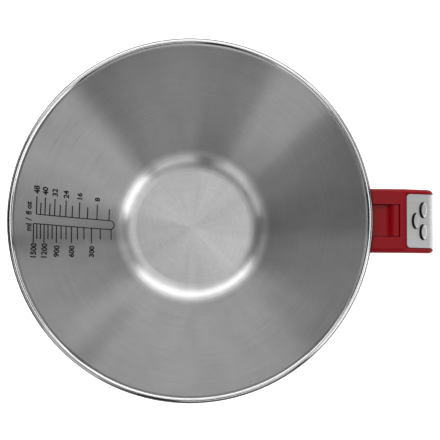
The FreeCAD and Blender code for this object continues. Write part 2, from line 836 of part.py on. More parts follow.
def catch_spring():
    """Torsion spring round the pin, with one leg under the lever and one against the shell."""
    turns, wire_r, coil_r = 5, 0.3, 1.85
    pitch = 1.3
    helix = Part.makeHelix(pitch, pitch * turns, coil_r)
    start = Vector(coil_r, 0, 0)
    circle = Part.Circle(start, Vector(0, coil_r, pitch / (2 * math.pi)), wire_r).toShape()
    coil = Part.Wire(helix.Edges).makePipeShell([Part.Wire([circle])], True, True)
    coil.rotate(Vector(0, 0, 0), Vector(1, 0, 0), -90)
    coil.translate(Vector(CATCH_X, -pitch * turns / 2, CATCH_Z))
    return coil


# ---- Battery -----------------------------------------------------------------------------

def battery_cap():
    low = HANDLE_TOP - total_drop()
    disc = rod(CAP_R, low, low + 2.2, BATTERY_X)
    rim = [e for e in disc.Edges if abs(e.BoundBox.ZMax - low) < 1e-4]
    disc = disc.makeFillet(0.5, rim)
    plug = rod(CAP_R - 1.9, low + 2.2, low + 3.6, BATTERY_X)
    slot = box(BATTERY_X - 8, BATTERY_X + 8, -1.1, 1.1, low - 1, low + 1.2)
    return fused([disc, plug]).cut(slot)


def battery_seal():
    low = HANDLE_TOP - total_drop()
    return ring(CAP_R - 1.9, CAP_R - 0.85, low + 2.2, low + 3.2, BATTERY_X)


def battery_holder():
    """Ring that centres the coin cell over the cap."""
    low = HANDLE_TOP - total_drop() + FACE_WALL + 0.7
    cup = ring(CELL_COIN_R + 0.3, CELL_COIN_R + 2.4, low, low + 5.2, BATTERY_X)
    roof = rod(CELL_COIN_R + 2.4, low + 4.2, low + 5.4, BATTERY_X)
    roof = roof.cut(box(BATTERY_X - 3, BATTERY_X + 3, -3, 3, low, low + 9))
    return fused([cup, roof])


def coin_cell():
    low = HANDLE_TOP - total_drop() + FACE_WALL + 0.7
    cell = rod(CELL_COIN_R, low + 0.1, low + 0.1 + CELL_COIN_T, BATTERY_X)
    edge = [e for e in cell.Edges if e.BoundBox.ZLength < 1e-4]
    return cell.makeFillet(0.4, edge)


def battery_contacts():
    """Sprung strip over the cell's top and a tab at its side."""
    low = HANDLE_TOP - total_drop() + FACE_WALL + 0.7
    top = box(BATTERY_X - 2.5, BATTERY_X + 2.5, -2.5, 2.5, low + 3.4, low + 3.8)
    leg = box(BATTERY_X - 2.5, BATTERY_X - 2.1, -2.5, 2.5, low + 3.4, low + 7.2)
    tab = box(BATTERY_X - 13.2, BATTERY_X - 12.8, -2.5, 2.5, low + 1.0, low + 7.2)
    return Part.makeCompound([top.fuse(leg), tab])


# ---- Leads -------------------------------------------------------------------------------

def display_harness():
    points = [
        (16.5, 30.0, 11.9), (16.9, 30.2, 9.0), (24.0, 30.0, 8.2), (34.0, 26.5, 11.2), (44.0, 20.0, 15.6),
        (56.0, 11.5, 18.6), (70.0, 6.0, 19.4), (86.0, 4.8, 20.2), (101.0, 4.2, 20.6),
        (115.0, 3.4, 19.8), (129.0, 2.4, 22.6), (141.5, 1.2, 29.6), (150.5, 0.3, 39.5),
        (155.6, 0.0, 51.5), (157.4, 0.2, 62.0), (157.9, 0.0, 69.2),
    ]
    return bent_tube(points, 1.2)


def load_cell_lead():
    points = [
        (26.0, 6.9, 13.0), (25.4, 9.4, 12.2), (22.0, 11.6, 11.4), (15.0, 11.9, 10.8),
        (8.0, 12.2, 10.9), (3.4, 14.0, 11.3), (1.0, 17.0, 11.8),
    ]
    return bent_tube(points, 0.9)


def battery_lead():
    points = [
        (BATTERY_X - 3.9, -0.8, 20.6), (88.0, -4.8, 20.4), (76.0, -5.0, 19.0),
        (64.0, -3.2, 18.2), (52.0, 3.4, 15.4), (40.0, 12.4, 12.2), (30.0, 19.0, 10.4),
        (21.5, 25.0, 10.2), (16.5, 27.2, 11.9),
    ]
    return bent_tube(points, 0.7)


def parts():
    made = {
        "bowl": bowl(),
        "bowl_floor": bowl_floor(),
        "base_tray": base_tray(),
        "foot_ring": foot_ring(),
        "load_cell": load_cell(),
        "gauge_potting": gauge_potting(),
        "cell_base_screws": cell_base_screws(),
        "overload_stop_screw": overload_stop_screw(),
        "platform": platform(),
        "seat_ring": seat_ring(),
        "cell_spacer": cell_spacer(),
        "cell_platform_screws": cell_platform_screws(),
        "main_board": main_board(),
        "board_chips": board_chips(),
        "board_connectors": board_connectors(),
        "board_screws": board_screws(),
        "buzzer": buzzer(),
        "handle_shell": handle_shell(),
        "handle_cover": handle_cover(),
        "handle_screws": handle_screws(),
        "spigot_screws": spigot_screws(),
        "fascia_plate": fascia_plate(),
        "display_window": display_window(),
        "display_gasket": display_gasket(),
        "lcd_glass": lcd_glass(),
        "zebra_strips": zebra_strips(),
        "display_board": display_board(),
        "display_board_chip": display_board_chip(),
        "display_board_screws": display_board_screws(),
        "button_board": button_board(),
        "button_switches": button_switches(),
        "catch_lever": catch_lever(),
        "catch_pad": catch_pad(),
        "catch_pin": catch_pin(),
        "catch_spring": catch_spring(),
        "battery_cap": battery_cap(),
        "battery_seal": battery_seal(),
        "battery_holder": battery_holder(),
        "coin_cell": coin_cell(),
        "battery_contacts": battery_contacts(),
        "display_harness": display_harness(),
        "load_cell_lead": load_cell_lead(),
        "battery_lead": battery_lead(),
    }
    for name, place in BUTTONS.items():
        made[name] = button(place)
    return made


def main():
    os.makedirs(OUT, exist_ok=True)
    for name, shape in parts().items():
        box_ = shape.BoundBox
        solids = len(shape.Solids)
        print(
            f"{name:22s} solids {solids} valid {shape.isValid()} volume {shape.Volume:10.1f} "
            f"x {box_.XMin:.1f}..{box_.XMax:.1f} y {box_.YMin:.1f}..{box_.YMax:.1f} "
            f"z {box_.ZMin:.1f}..{box_.ZMax:.1f}"
        )
        shape.exportStep(os.path.join(OUT, name + ".step"))


main()
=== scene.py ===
import bpy
import math
from mathutils import Matrix, Vector


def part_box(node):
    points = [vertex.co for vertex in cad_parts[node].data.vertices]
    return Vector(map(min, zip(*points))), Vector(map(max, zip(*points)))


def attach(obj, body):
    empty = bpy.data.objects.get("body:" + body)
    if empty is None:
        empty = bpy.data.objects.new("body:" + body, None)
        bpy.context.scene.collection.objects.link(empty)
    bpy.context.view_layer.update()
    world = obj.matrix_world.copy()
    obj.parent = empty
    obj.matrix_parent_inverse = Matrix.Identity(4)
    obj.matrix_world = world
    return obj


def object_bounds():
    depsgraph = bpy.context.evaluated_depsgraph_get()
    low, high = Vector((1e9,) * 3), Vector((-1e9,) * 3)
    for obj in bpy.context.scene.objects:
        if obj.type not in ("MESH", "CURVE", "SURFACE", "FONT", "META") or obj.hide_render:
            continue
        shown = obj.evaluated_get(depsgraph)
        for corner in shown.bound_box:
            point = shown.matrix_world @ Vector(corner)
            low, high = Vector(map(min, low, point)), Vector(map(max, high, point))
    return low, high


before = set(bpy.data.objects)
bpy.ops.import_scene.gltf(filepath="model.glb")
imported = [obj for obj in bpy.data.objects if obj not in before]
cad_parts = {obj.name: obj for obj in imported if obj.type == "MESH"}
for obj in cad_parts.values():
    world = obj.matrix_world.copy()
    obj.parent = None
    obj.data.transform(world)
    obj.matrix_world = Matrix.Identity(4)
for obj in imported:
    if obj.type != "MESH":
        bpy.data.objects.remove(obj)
CAD_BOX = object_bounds()

bl_info = {
    "name": "Kitchen Scale with Measuring Bowl",
    "version": (1, 0, 0),
    "blender": (4, 5, 0),
    "location": "View3D > Sidebar > Scale",
    "description": "Finishes, printed marks and studio for a digital kitchen scale",
    "category": "Object",
}

MM = 0.001

# The bowl's inner surface, from its pressing: flat floor, corner arc, bowed wall (millimetres).
FLOOR_Z = 28.0
FLOOR_R = 43.0
CORNER_R = 19.05
CORNER_TURN = math.radians(44.0)
WALL_R = 493.55
WALL_TOP_R = 122.4
ML_PER_FL_OZ = 29.5735

# The rolled rim: its lighter colour, a painted highlight, as a share of the steel's colour, and its smoother
# polish as a roughness
RIM_HIGHLIGHT_TONE = 1.05
RIM_ROUGHNESS = 0.12

# Printed marks, in millimetres: the length of each kind of tick and how far its figure stands
# from the long line, at the innermost mark, and what is added by the outermost one
ML_LONG, ML_LONG_GROWTH = 10.7, 2.8
ML_SHORT, ML_SHORT_GROWTH = 7.7, 3.3
ML_FIGURE, ML_FIGURE_GROWTH = 16.9, 2.6
OZ_LONG, OZ_LONG_GROWTH = 10.8, 1.8
OZ_SHORT = 8.5
OZ_FIGURE, OZ_FIGURE_GROWTH = 14.2, 3.2

UNIT_GAP = 2.6
PRINT_LIFT = 0.06
LINE_STEP = 2.0
FIGURE_SQUEEZE = 0.8

# The rolled rim, in metres: how far its middle lies in from its outside and below its top, and
# how far below the top of the whole scale its smoother finish and painted highlight start
RIM_INSET = 0.0021
RIM_BAND = 0.0024

# Where the camera aims, from the middle of the rim (metres)
AIM_RIGHT = 0.0207
AIM_DOWN = 0.0008

# The studio floor's half width, and how far it lies under the scale's feet (metres)
STAGE_HALF = 6.0
STAGE_DROP = 0.0002

# Stretch of a metal finish that has no direction
EVEN = (1.0, 1.0, 1.0)


# ---- Node helpers ------------------------------------------------------------------------

def add_node(tree, kind, props=None, **inputs):
    """Adds a node, sets its properties, and sets or links its inputs by name."""
    made = tree.nodes.new(kind)
    for key, value in (props or {}).items():
        setattr(made, key, value)
    for key, value in inputs.items():
        socket = made.inputs[key.replace("_", " ")]
        if isinstance(value, bpy.types.NodeSocket):
            tree.links.new(value, socket)
        else:
            socket.default_value = value
    return made


def maths(tree, operation, *values, clamp=False):
    made = add_node(tree, "ShaderNodeMath", {"operation": operation, "use_clamp": clamp})
    for socket, value in zip(made.inputs, values):
        if isinstance(value, bpy.types.NodeSocket):
            tree.links.new(value, socket)
        else:
            socket.default_value = value
    return made.outputs[0]


def remap(tree, value, from_min, from_max, to_min, to_max):
    made = add_node(
        tree, "ShaderNodeMapRange", {"clamp": True}, Value=value,
        From_Min=from_min, From_Max=from_max, To_Min=to_min, To_Max=to_max,
    )
    return made.outputs[0]


def vector_length(tree, vector):
    made = add_node(tree, "ShaderNodeVectorMath", {"operation": "LENGTH"}, Vector=vector)
    return made.outputs["Value"]


def mix_colour(tree, factor, a, b):
    made = add_node(tree, "ShaderNodeMix", {"data_type": "RGBA", "blend_type": "MIX"})
    for socket, value in ((made.inputs[0], factor), (made.inputs[6], a), (made.inputs[7], b)):
        if isinstance(value, bpy.types.NodeSocket):
            tree.links.new(value, socket)
        else:
            socket.default_value = value
    return made.outputs[2]


def new_group(name, inputs, outputs):
    """Empty shader group with named sockets. Each input is (name, kind, default)."""
    tree = bpy.data.node_groups.new(name, "ShaderNodeTree")
    for label, kind, default in inputs:
        socket = tree.interface.new_socket(label, in_out="INPUT", socket_type=kind)
        if default is not None:
            socket.default_value = default
    for label, kind in outputs:
        tree.interface.new_socket(label, in_out="OUTPUT", socket_type=kind)
    return tree, tree.nodes.new("NodeGroupInput"), tree.nodes.new("NodeGroupOutput")


FLOAT = "NodeSocketFloat"
VECTOR = "NodeSocketVector"


def turned_grain_group():
    """Fine lines that run round the Z axis, as left by polishing on a lathe."""
    tree, ins, outs = new_group(
        "Turned Grain",
        [("Position", VECTOR, None), ("Lines per mm", FLOAT, 1.6), ("Arc Length", FLOAT, 2.0)],
        [("Line", FLOAT), ("Streak", FLOAT), ("Smudge", FLOAT)],
    )
    split = add_node(tree, "ShaderNodeSeparateXYZ", Vector=ins.outputs["Position"])
    x, y, z = split.outputs
    squares = maths(tree, "ADD", maths(tree, "MULTIPLY", x, x), maths(tree, "MULTIPLY", y, y))
    radius = maths(tree, "SQRT", squares)
    angle = maths(tree, "ARCTAN2", y, x)
    run = maths(tree, "ADD", maths(tree, "MULTIPLY", radius, 1000.0), maths(tree, "MULTIPLY", z, 700.0))
    across = maths(tree, "MULTIPLY", run, ins.outputs["Lines per mm"])
    turn_x = maths(tree, "MULTIPLY", maths(tree, "COSINE", angle), ins.outputs["Arc Length"])
    turn_y = maths(tree, "MULTIPLY", maths(tree, "SINE", angle), ins.outputs["Arc Length"])
    place = add_node(tree, "ShaderNodeCombineXYZ", X=turn_x, Y=turn_y, Z=across)
    fine = add_node(
        tree, "ShaderNodeTexNoise", {"noise_dimensions": "3D"},
        Vector=place.outputs[0], Scale=1.0, Detail=3.0, Roughness=0.7,
    )
    slow_run = maths(tree, "MULTIPLY", run, 0.012)
    sector = add_node(tree, "ShaderNodeCombineXYZ", X=turn_x, Y=turn_y, Z=slow_run)
    broad = add_node(
        tree, "ShaderNodeTexNoise", {"noise_dimensions": "3D"},
        Vector=sector.outputs[0], Scale=2.2, Detail=3.0, Roughness=0.55,
    )
    smudge = add_node(
        tree, "ShaderNodeTexNoise", {"noise_dimensions": "3D"},
        Vector=ins.outputs["Position"], Scale=38.0, Detail=5.0, Roughness=0.6,
    )
    tree.links.new(fine.outputs[0], outs.inputs["Line"])
    tree.links.new(broad.outputs[0], outs.inputs["Streak"])
    tree.links.new(smudge.outputs[0], outs.inputs["Smudge"])
    return tree


def brushed_grain_group():
    """Straight brushed lines along one direction of the object's own space."""
    tree, ins, outs = new_group(
        "Brushed Grain",
        [("Position", VECTOR, None), ("Stretch", VECTOR, (1.0, 1.0, 1.0)), ("Scale", FLOAT, 900.0)],
        [("Line", FLOAT), ("Smudge", FLOAT)],
    )
    stretched = add_node(tree, "ShaderNodeVectorMath", {"operation": "MULTIPLY"})
    tree.links.new(ins.outputs["Position"], stretched.inputs[0])
    tree.links.new(ins.outputs["Stretch"], stretched.inputs[1])
    fine = add_node(
        tree, "ShaderNodeTexNoise", Vector=stretched.outputs[0], Scale=ins.outputs["Scale"],
        Detail=4.0, Roughness=0.65,
    )
    smudge = add_node(
        tree, "ShaderNodeTexNoise", Vector=ins.outputs["Position"], Scale=60.0, Detail=4.0, Roughness=0.6,
    )
    tree.links.new(fine.outputs[0], outs.inputs["Line"])
    tree.links.new(smudge.outputs[0], outs.inputs["Smudge"])
    return tree


def moulded_skin_group():
    """Fine spark-eroded texture of a moulded part, with broad flow marks and dust."""
    tree, ins, outs = new_group(
        "Moulded Skin",
        [("Position", VECTOR, None), ("Grain Scale", FLOAT, 2600.0)],
        [("Grain", FLOAT), ("Flow", FLOAT), ("Dust", FLOAT)],
    )
    grain = add_node(
        tree, "ShaderNodeTexNoise", Vector=ins.outputs["Position"], Scale=ins.outputs["Grain Scale"],
        Detail=3.0, Roughness=0.7,
    )
    flow = add_node(
        tree, "ShaderNodeTexNoise", Vector=ins.outputs["Position"], Scale=24.0, Detail=3.0, Roughness=0.5,
    )
    specks = add_node(
        tree, "ShaderNodeTexVoronoi", {"feature": "F1"}, Vector=ins.outputs["Position"], Scale=420.0,
    )
    dust = remap(tree, specks.outputs["Distance"], 0.05, 0.16, 1.0, 0.0)
    veil = add_node(
        tree, "ShaderNodeTexNoise", Vector=ins.outputs["Position"], Scale=75.0, Detail=4.0, Roughness=0.65,
    )
    dust = maths(tree, "MULTIPLY", dust, remap(tree, veil.outputs[0], 0.5, 0.72, 0.0, 1.0))
    tree.links.new(grain.outputs[0], outs.inputs["Grain"])
    tree.links.new(flow.outputs[0], outs.inputs["Flow"])
    tree.links.new(dust, outs.inputs["Dust"])
    return tree


def crescent_group():
    """Mask of what lies outside an upright oval moved along +X: a crescent on its -X side, for painted
    shade.
    """
    tree, ins, outs = new_group(
        "Shade Crescent",
        [
            ("Position", VECTOR, None), ("Middle", VECTOR, None),
            ("Half Size", VECTOR, None), ("Shift", FLOAT, 0.001),
        ],
        [("Mask", FLOAT)],
    )

    def combine(operation, a, b):
        made = add_node(tree, "ShaderNodeVectorMath", {"operation": operation})
        tree.links.new(a, made.inputs[0])
        tree.links.new(b, made.inputs[1])
        return made.outputs[0]

    moved = combine("SUBTRACT", ins.outputs["Position"], ins.outputs["Middle"])
    aside = add_node(tree, "ShaderNodeCombineXYZ", X=ins.outputs["Shift"]).outputs[0]
    share = combine("DIVIDE", combine("SUBTRACT", moved, aside), ins.outputs["Half Size"])
    flat = add_node(tree, "ShaderNodeVectorMath", {"operation": "MULTIPLY"})
    tree.links.new(share, flat.inputs[0])
    flat.inputs[1].default_value = (1.0, 1.0, 0.0)
    mask = remap(tree, vector_length(tree, flat.outputs[0]), 0.86, 0.98, 0.0, 1.0)
    tree.links.new(mask, outs.inputs["Mask"])
    return tree


GROUPS = {
    "Shade Crescent": crescent_group,
    "Turned Grain": turned_grain_group,
    "Brushed Grain": brushed_grain_group,
    "Moulded Skin": moulded_skin_group,
}


def group(tree, name, **inputs):
    made = add_node(tree, "ShaderNodeGroup", {"node_tree": bpy.data.node_groups.get(name) or GROUPS[name]()})
    for key, value in inputs.items():
        socket = made.inputs[key.replace("_", " ")]
        if isinstance(value, bpy.types.NodeSocket):
            tree.links.new(value, socket)
        else:
            socket.default_value = value
    return made.outputs


def start_material(name, **principled):
    """Material with one Principled shader. Returns it, its tree, the shader and the object position."""
    made = bpy.data.materials.new(name)
    made.use_nodes = True
    tree = made.node_tree
    shader = tree.nodes["Principled BSDF"]
    for key, value in principled.items():
        shader.inputs[key.replace("_", " ")].default_value = value
    place = add_node(tree, "ShaderNodeTexCoord").outputs["Object"]
    return made, tree, shader, place


def bump(tree, shader, height, strength, depth):
    made = add_node(tree, "ShaderNodeBump", Height=height, Strength=strength, Distance=depth)
    tree.links.new(made.outputs[0], shader.inputs["Normal"])


def rgb(colour, share=1.0):
    return (colour[0] * share, colour[1] * share, colour[2] * share, 1.0)


# ---- Materials ---------------------------------------------------------------------------

def bowl_steel(settings):
    """Lathe-polished stainless steel. The rolled rim is smoother and has a lighter colour, a painted
    highlight; the lower part of its outer edge is darkened, a painted shade; the corner round the floor is
    lightened, a painted highlight.
    """
    made, tree, shader, place = start_material(
        "bowl_steel", Metallic=1.0, Anisotropic=settings.brushing, Anisotropic_Rotation=0.25,
        Specular_Tint=(0.1, 0.1, 0.1, 1.0),
    )
    line, streak, smudge = group(tree, "Turned Grain", Position=place, Lines_per_mm=2.2, Arc_Length=3.0)
    split = add_node(tree, "ShaderNodeSeparateXYZ", Vector=place)
    height = split.outputs[2]
    rim = remap(tree, height, settings.rim_height - 0.0005, settings.rim_height + 0.0005, 0.0, 1.0)
    # Painted highlight: the corner round the floor gets a lighter colour, standing in for the softboxes'
    # reflection there
    corner_top = (FLOOR_Z + CORNER_R * (1.0 - math.cos(CORNER_TURN))) * MM
    corner = remap(tree, height, FLOOR_Z * MM, FLOOR_Z * MM + 0.002, 0.0, 1.0)
    fade = remap(tree, height, corner_top - 0.001, corner_top + 0.003, 1.0, 0.0)
    corner = maths(tree, "MULTIPLY", corner, fade)
    # Painted shade: the lower part of the rim's outer edge darkens towards the edge shade tone
    edge_low, edge_high = settings.rim_height + 0.0015, settings.rim_height + 0.0023
    edge = remap(tree, height, edge_low, edge_high, settings.edge_shade, RIM_HIGHLIGHT_TONE)
    tone = remap(tree, line, 0.3, 0.7, 0.80, 1.0)
    tone = maths(tree, "MULTIPLY", tone, remap(tree, streak, 0.3, 0.7, 0.90, 1.0))
    tone = maths(tree, "MULTIPLY", tone, remap(tree, corner, 0.0, 1.0, 1.0, settings.corner_polish))
    across = add_node(tree, "ShaderNodeCombineXYZ", X=split.outputs[0], Y=split.outputs[1])
    radius = vector_length(tree, across.outputs[0])
    outer = remap(tree, radius, settings.rim_radius - 0.0003, settings.rim_radius + 0.0003, 0.0, 1.0)
    # Painted highlight: the rolled rim takes a lighter colour than the wall
    tone = mix_colour(tree, rim, tone, (RIM_HIGHLIGHT_TONE, RIM_HIGHLIGHT_TONE, RIM_HIGHLIGHT_TONE, 1.0))
    tone = mix_colour(tree, outer, tone, edge)
    colour = add_node(tree, "ShaderNodeVectorMath", {"operation": "SCALE"}, Scale=tone)
    colour.inputs[0].default_value = settings.colour
    tree.links.new(colour.outputs[0], shader.inputs["Base Color"])
    rough = maths(tree, "ADD", settings.roughness - 0.05, maths(tree, "MULTIPLY", line, 0.06))
    rough = maths(tree, "ADD", rough, maths(tree, "MULTIPLY", smudge, 0.04))
    smoother = maths(tree, "MULTIPLY", rim, settings.roughness - RIM_ROUGHNESS)
    rough = maths(tree, "SUBTRACT", rough, smoother, clamp=True)
    tree.links.new(rough, shader.inputs["Roughness"])
    tangent = add_node(tree, "ShaderNodeTangent", {"direction_type": "RADIAL", "axis": "Z"})
    tree.links.new(tangent.outputs[0], shader.inputs["Tangent"])
    bump(tree, shader, line, 0.05, 0.0002)
    return made


def sheet_steel(name, colour, roughness, brushing, stretch, scale):
    """Rolled or machined metal. Brushing above zero draws its reflections out."""
    made, tree, shader, place = start_material(name, Metallic=1.0, Anisotropic=brushing)
    line, smudge = group(tree, "Brushed Grain", Position=place, Stretch=stretch, Scale=scale)
    tone = remap(tree, line, 0.3, 0.7, 0.82, 1.0)
    colour = mix_colour(tree, tone, (0.0, 0.0, 0.0, 1.0), rgb(colour))
    tree.links.new(colour, shader.inputs["Base Color"])
    rough = maths(tree, "ADD", roughness - 0.06, maths(tree, "MULTIPLY", line, 0.08))
    rough = maths(tree, "ADD", rough, maths(tree, "MULTIPLY", smudge, 0.05))
    tree.links.new(rough, shader.inputs["Roughness"])
    if brushing > 0.0:
        tangent = add_node(tree, "ShaderNodeTangent", {"direction_type": "RADIAL", "axis": "Y"})
        tree.links.new(tangent.outputs[0], shader.inputs["Tangent"])
    bump(tree, shader, line, 0.08, 0.0002)
    return made


def moulded(name, colour, roughness, grain_depth, gloss=0.5, dust=0.0, grain_scale=2600.0):
    """Moulded plastic or rubber with its fine skin, flow marks and settled dust."""
    made, tree, shader, place = start_material(name, Specular_IOR_Level=gloss)
    grain, flow, specks = group(tree, "Moulded Skin", Position=place, Grain_Scale=grain_scale)
    tone = remap(tree, flow, 0.3, 0.7, 0.9, 1.06)
    shade = mix_colour(tree, tone, (0.0, 0.0, 0.0, 1.0), rgb(colour))
    if dust > 0.0:
        grey = maths(tree, "MULTIPLY", specks, dust)
        shade = mix_colour(tree, grey, shade, (0.35, 0.34, 0.33, 1.0))
    tree.links.new(shade, shader.inputs["Base Color"])
    rough = maths(tree, "ADD", roughness - 0.05, maths(tree, "MULTIPLY", flow, 0.1))
    tree.links.new(rough, shader.inputs["Roughness"])
    bump(tree, shader, grain, grain_depth, 0.0001)
    return made


def button_steel(name):
    """Satin button cap with painted shade: a dark crescent along the side towards the bowl."""
    made, tree, shader, place = start_material("steel_" + name, Metallic=1.0)
    low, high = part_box(name)
    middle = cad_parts[name].matrix_world.inverted() @ ((low + high) / 2)
    half = (high - low) / 2
    crescent = group(
        tree, "Shade Crescent", Position=place, Middle=middle, Half_Size=half, Shift=half.x * 0.82,
    )[0]
    line = group(tree, "Brushed Grain", Position=place, Scale=1400.0)[0]
    # Painted shade: the cap turns nearly black in the crescent
    shade = mix_colour(tree, crescent, (0.74, 0.74, 0.75, 1.0), (0.015, 0.015, 0.016, 1.0))
    tree.links.new(shade, shader.inputs["Base Color"])
    tree.links.new(remap(tree, line, 0.3, 0.7, 0.28, 0.38), shader.inputs["Roughness"])
    bump(tree, shader, line, 0.05, 0.0002)
    return made


def clear_window(name):
    """Clear acrylic with faint wipe marks."""
    made, tree, shader, place = start_material(
        name, Transmission_Weight=1.0, IOR=1.49, Base_Color=(0.86, 0.88, 0.9, 1.0),
    )
    smudge = group(tree, "Brushed Grain", Position=place, Scale=30.0)[1]
    tree.links.new(remap(tree, smudge, 0.45, 0.75, 0.02, 0.09), shader.inputs["Roughness"])
    return made


def circuit_board(name, colour):
    """Solder mask over copper tracks."""
    made, tree, shader, place = start_material(name, Coat_Weight=0.4, Coat_Roughness=0.2)
    tracks = add_node(
        tree, "ShaderNodeTexBrick", {"offset": 0.37, "squash": 0.6, "squash_frequency": 3},
        Vector=place, Scale=170.0, Mortar_Size=0.09, Mortar_Smooth=0.15,
    )
    flow = group(tree, "Moulded Skin", Position=place, Grain_Scale=1500.0)[1]
    shade = mix_colour(tree, tracks.outputs["Fac"], rgb(colour), rgb(colour, 2.1))
    tree.links.new(shade, shader.inputs["Base Color"])
    tree.links.new(remap(tree, flow, 0.3, 0.7, 0.32, 0.45), shader.inputs["Roughness"])
    bump(tree, shader, tracks.outputs["Fac"], 0.3, 0.0001)
    return made


def ink(name, colour):
    """Printed and baked enamel ink, very slightly worn."""
    made, tree, shader, place = start_material(name, Specular_IOR_Level=0.15)
    worn = group(tree, "Moulded Skin", Position=place, Grain_Scale=1800.0)[0]
    shade = mix_colour(tree, remap(tree, worn, 0.35, 0.7, 0.0, 1.0), rgb(colour), rgb(colour, 2.6))
    tree.links.new(shade, shader.inputs["Base Color"])
    tree.links.new(remap(tree, worn, 0.3, 0.7, 0.5, 0.65), shader.inputs["Roughness"])
    return made


def lcd_material(name, colour):
    """Grey-green face of a switched-on display."""
    made, tree, shader, place = start_material(name, Coat_Weight=0.3, Coat_Roughness=0.08)
    dots = group(tree, "Moulded Skin", Position=place, Grain_Scale=5200.0)
    shade = mix_colour(tree, dots[0], rgb(colour, 0.9), rgb(colour, 1.08))
    tree.links.new(shade, shader.inputs["Base Color"])
    tree.links.new(remap(tree, dots[1], 0.3, 0.7, 0.28, 0.36), shader.inputs["Roughness"])
    return made


def paint_node(name, material):
    """Puts a material in every slot of a carried-over CAD node."""
    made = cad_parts[name]
    if not made.material_slots:
        made.data.materials.append(material)
    for holder in made.material_slots:
        holder.material = material


# ---- The bowl's inner surface ------------------------------------------------------------

def wall_height(radius):
    """Height of the bowl's inner surface at a radius, in millimetres."""
    if radius <= FLOOR_R:
        return FLOOR_Z
    corner_z = FLOOR_Z + CORNER_R
    corner_end = FLOOR_R + CORNER_R * math.sin(CORNER_TURN)
    if radius < corner_end:
        return corner_z - math.sqrt(CORNER_R**2 - (radius - FLOOR_R) ** 2)
    middle_r = corner_end - WALL_R * math.sin(CORNER_TURN)
    middle_z = corner_z + (WALL_R - CORNER_R) * math.cos(CORNER_TURN)
    return middle_z - math.sqrt(WALL_R**2 - (radius - middle_r) ** 2)


def wall_lean(radius):
    """Angle of the inner surface from level at a radius."""
    step = 0.05
    return math.atan2(wall_height(radius + step) - wall_height(radius - step), 2 * step)


def fill_radii():
    """List of (radius, millilitres held up to it)."""
    table, held, last = [], 0.0, (FLOOR_R, FLOOR_Z)
    radius, step = FLOOR_R, 0.05
    while radius < WALL_TOP_R:
        radius += step
        z = wall_height(radius)
        held += math.pi * (radius**2 + last[0] ** 2) / 2 * (z - last[1]) / 1000.0
        last = (radius, z)
        table.append((radius, held))
    return table


def radius_at(volume, table):
    """Radius of the wall that a volume in millilitres reaches."""
    for radius, held in table:
        if held >= volume:
            return radius
    raise ValueError("the bowl is too small for that mark")


class WallPrint:
    """Flat shapes drawn in plan and laid on the bowl's wall.

    u runs out along the radius towards -X and v to the left of it, towards -Y, in millimetres.
    """

    def __init__(self, turn, lift):
        self.verts = []
        self.faces = []
        self.turn = turn
        self.lift = lift

    def on_wall(self, u, v):
        radius = math.hypot(u, v)
        lean = wall_lean(radius)
        angle = math.pi + math.atan2(v, u) + self.turn
        r = radius - self.lift * math.sin(lean)
        z = wall_height(radius) + self.lift * math.cos(lean)
        return Vector((r * math.cos(angle), r * math.sin(angle), z)) * MM

    def ribbon(self, points, width):
        """Strip of constant width along a run of plan points."""
        left, right = [], []
        for i, (u, v) in enumerate(points):
            a = points[max(i - 1, 0)]
            b = points[min(i + 1, len(points) - 1)]
            du, dv = b[0] - a[0], b[1] - a[1]
            length = math.hypot(du, dv)
            nu, nv = -dv / length * width / 2, du / length * width / 2
            left.append((u + nu, v + nv))
            right.append((u - nu, v - nv))
        first = len(self.verts)
        for a, b in zip(left, right):
            self.verts += [self.on_wall(*a), self.on_wall(*b)]
        for i in range(len(points) - 1):
            k = first + 2 * i
            self.faces.append((k, k + 1, k + 3, k + 2))

    def line(self, a, b, width):
        """Straight strip, cut into short lengths so that it follows the wall."""
        count = max(1, int(math.dist(a, b) / LINE_STEP))
        points = [
            (a[0] + (b[0] - a[0]) * i / count, a[1] + (b[1] - a[1]) * i / count) for i in range(count + 1)
        ]
        self.ribbon(points, width)

    def text(self, words, centre, height):
        """Words whose tops point out along u and that read towards -v."""
        curve = bpy.data.curves.new("print_words", "FONT")
        curve.body = words
        curve.size = 1.0
        curve.offset = 0.04
        curve.align_x = "CENTER"
        curve.align_y = "CENTER"
        curve.resolution_u = 3
        holder = bpy.data.objects.new("print_words", curve)
        bpy.context.scene.collection.objects.link(holder)
        bpy.context.view_layer.update()
        mesh = bpy.data.meshes.new_from_object(holder)
        first = len(self.verts)
        for vert in mesh.vertices:
            u = centre[0] + vert.co.y * height * FIGURE_SQUEEZE
            v = centre[1] - vert.co.x * height
            self.verts.append(self.on_wall(u, v))
        for face in mesh.polygons:
            self.faces.append(tuple(first + i for i in face.vertices))
        bpy.data.objects.remove(holder)
        bpy.data.meshes.remove(mesh)
        bpy.data.curves.remove(curve)

    def build(self, name):
        mesh = bpy.data.meshes.new(name)
        mesh.from_pydata(self.verts, [], self.faces)
        mesh.validate()
        mesh.update()
        made = bpy.data.objects.new(name, mesh)
        bpy.context.scene.collection.objects.link(made)
        return made


# ---- Settings ----------------------------------------------------------------------------

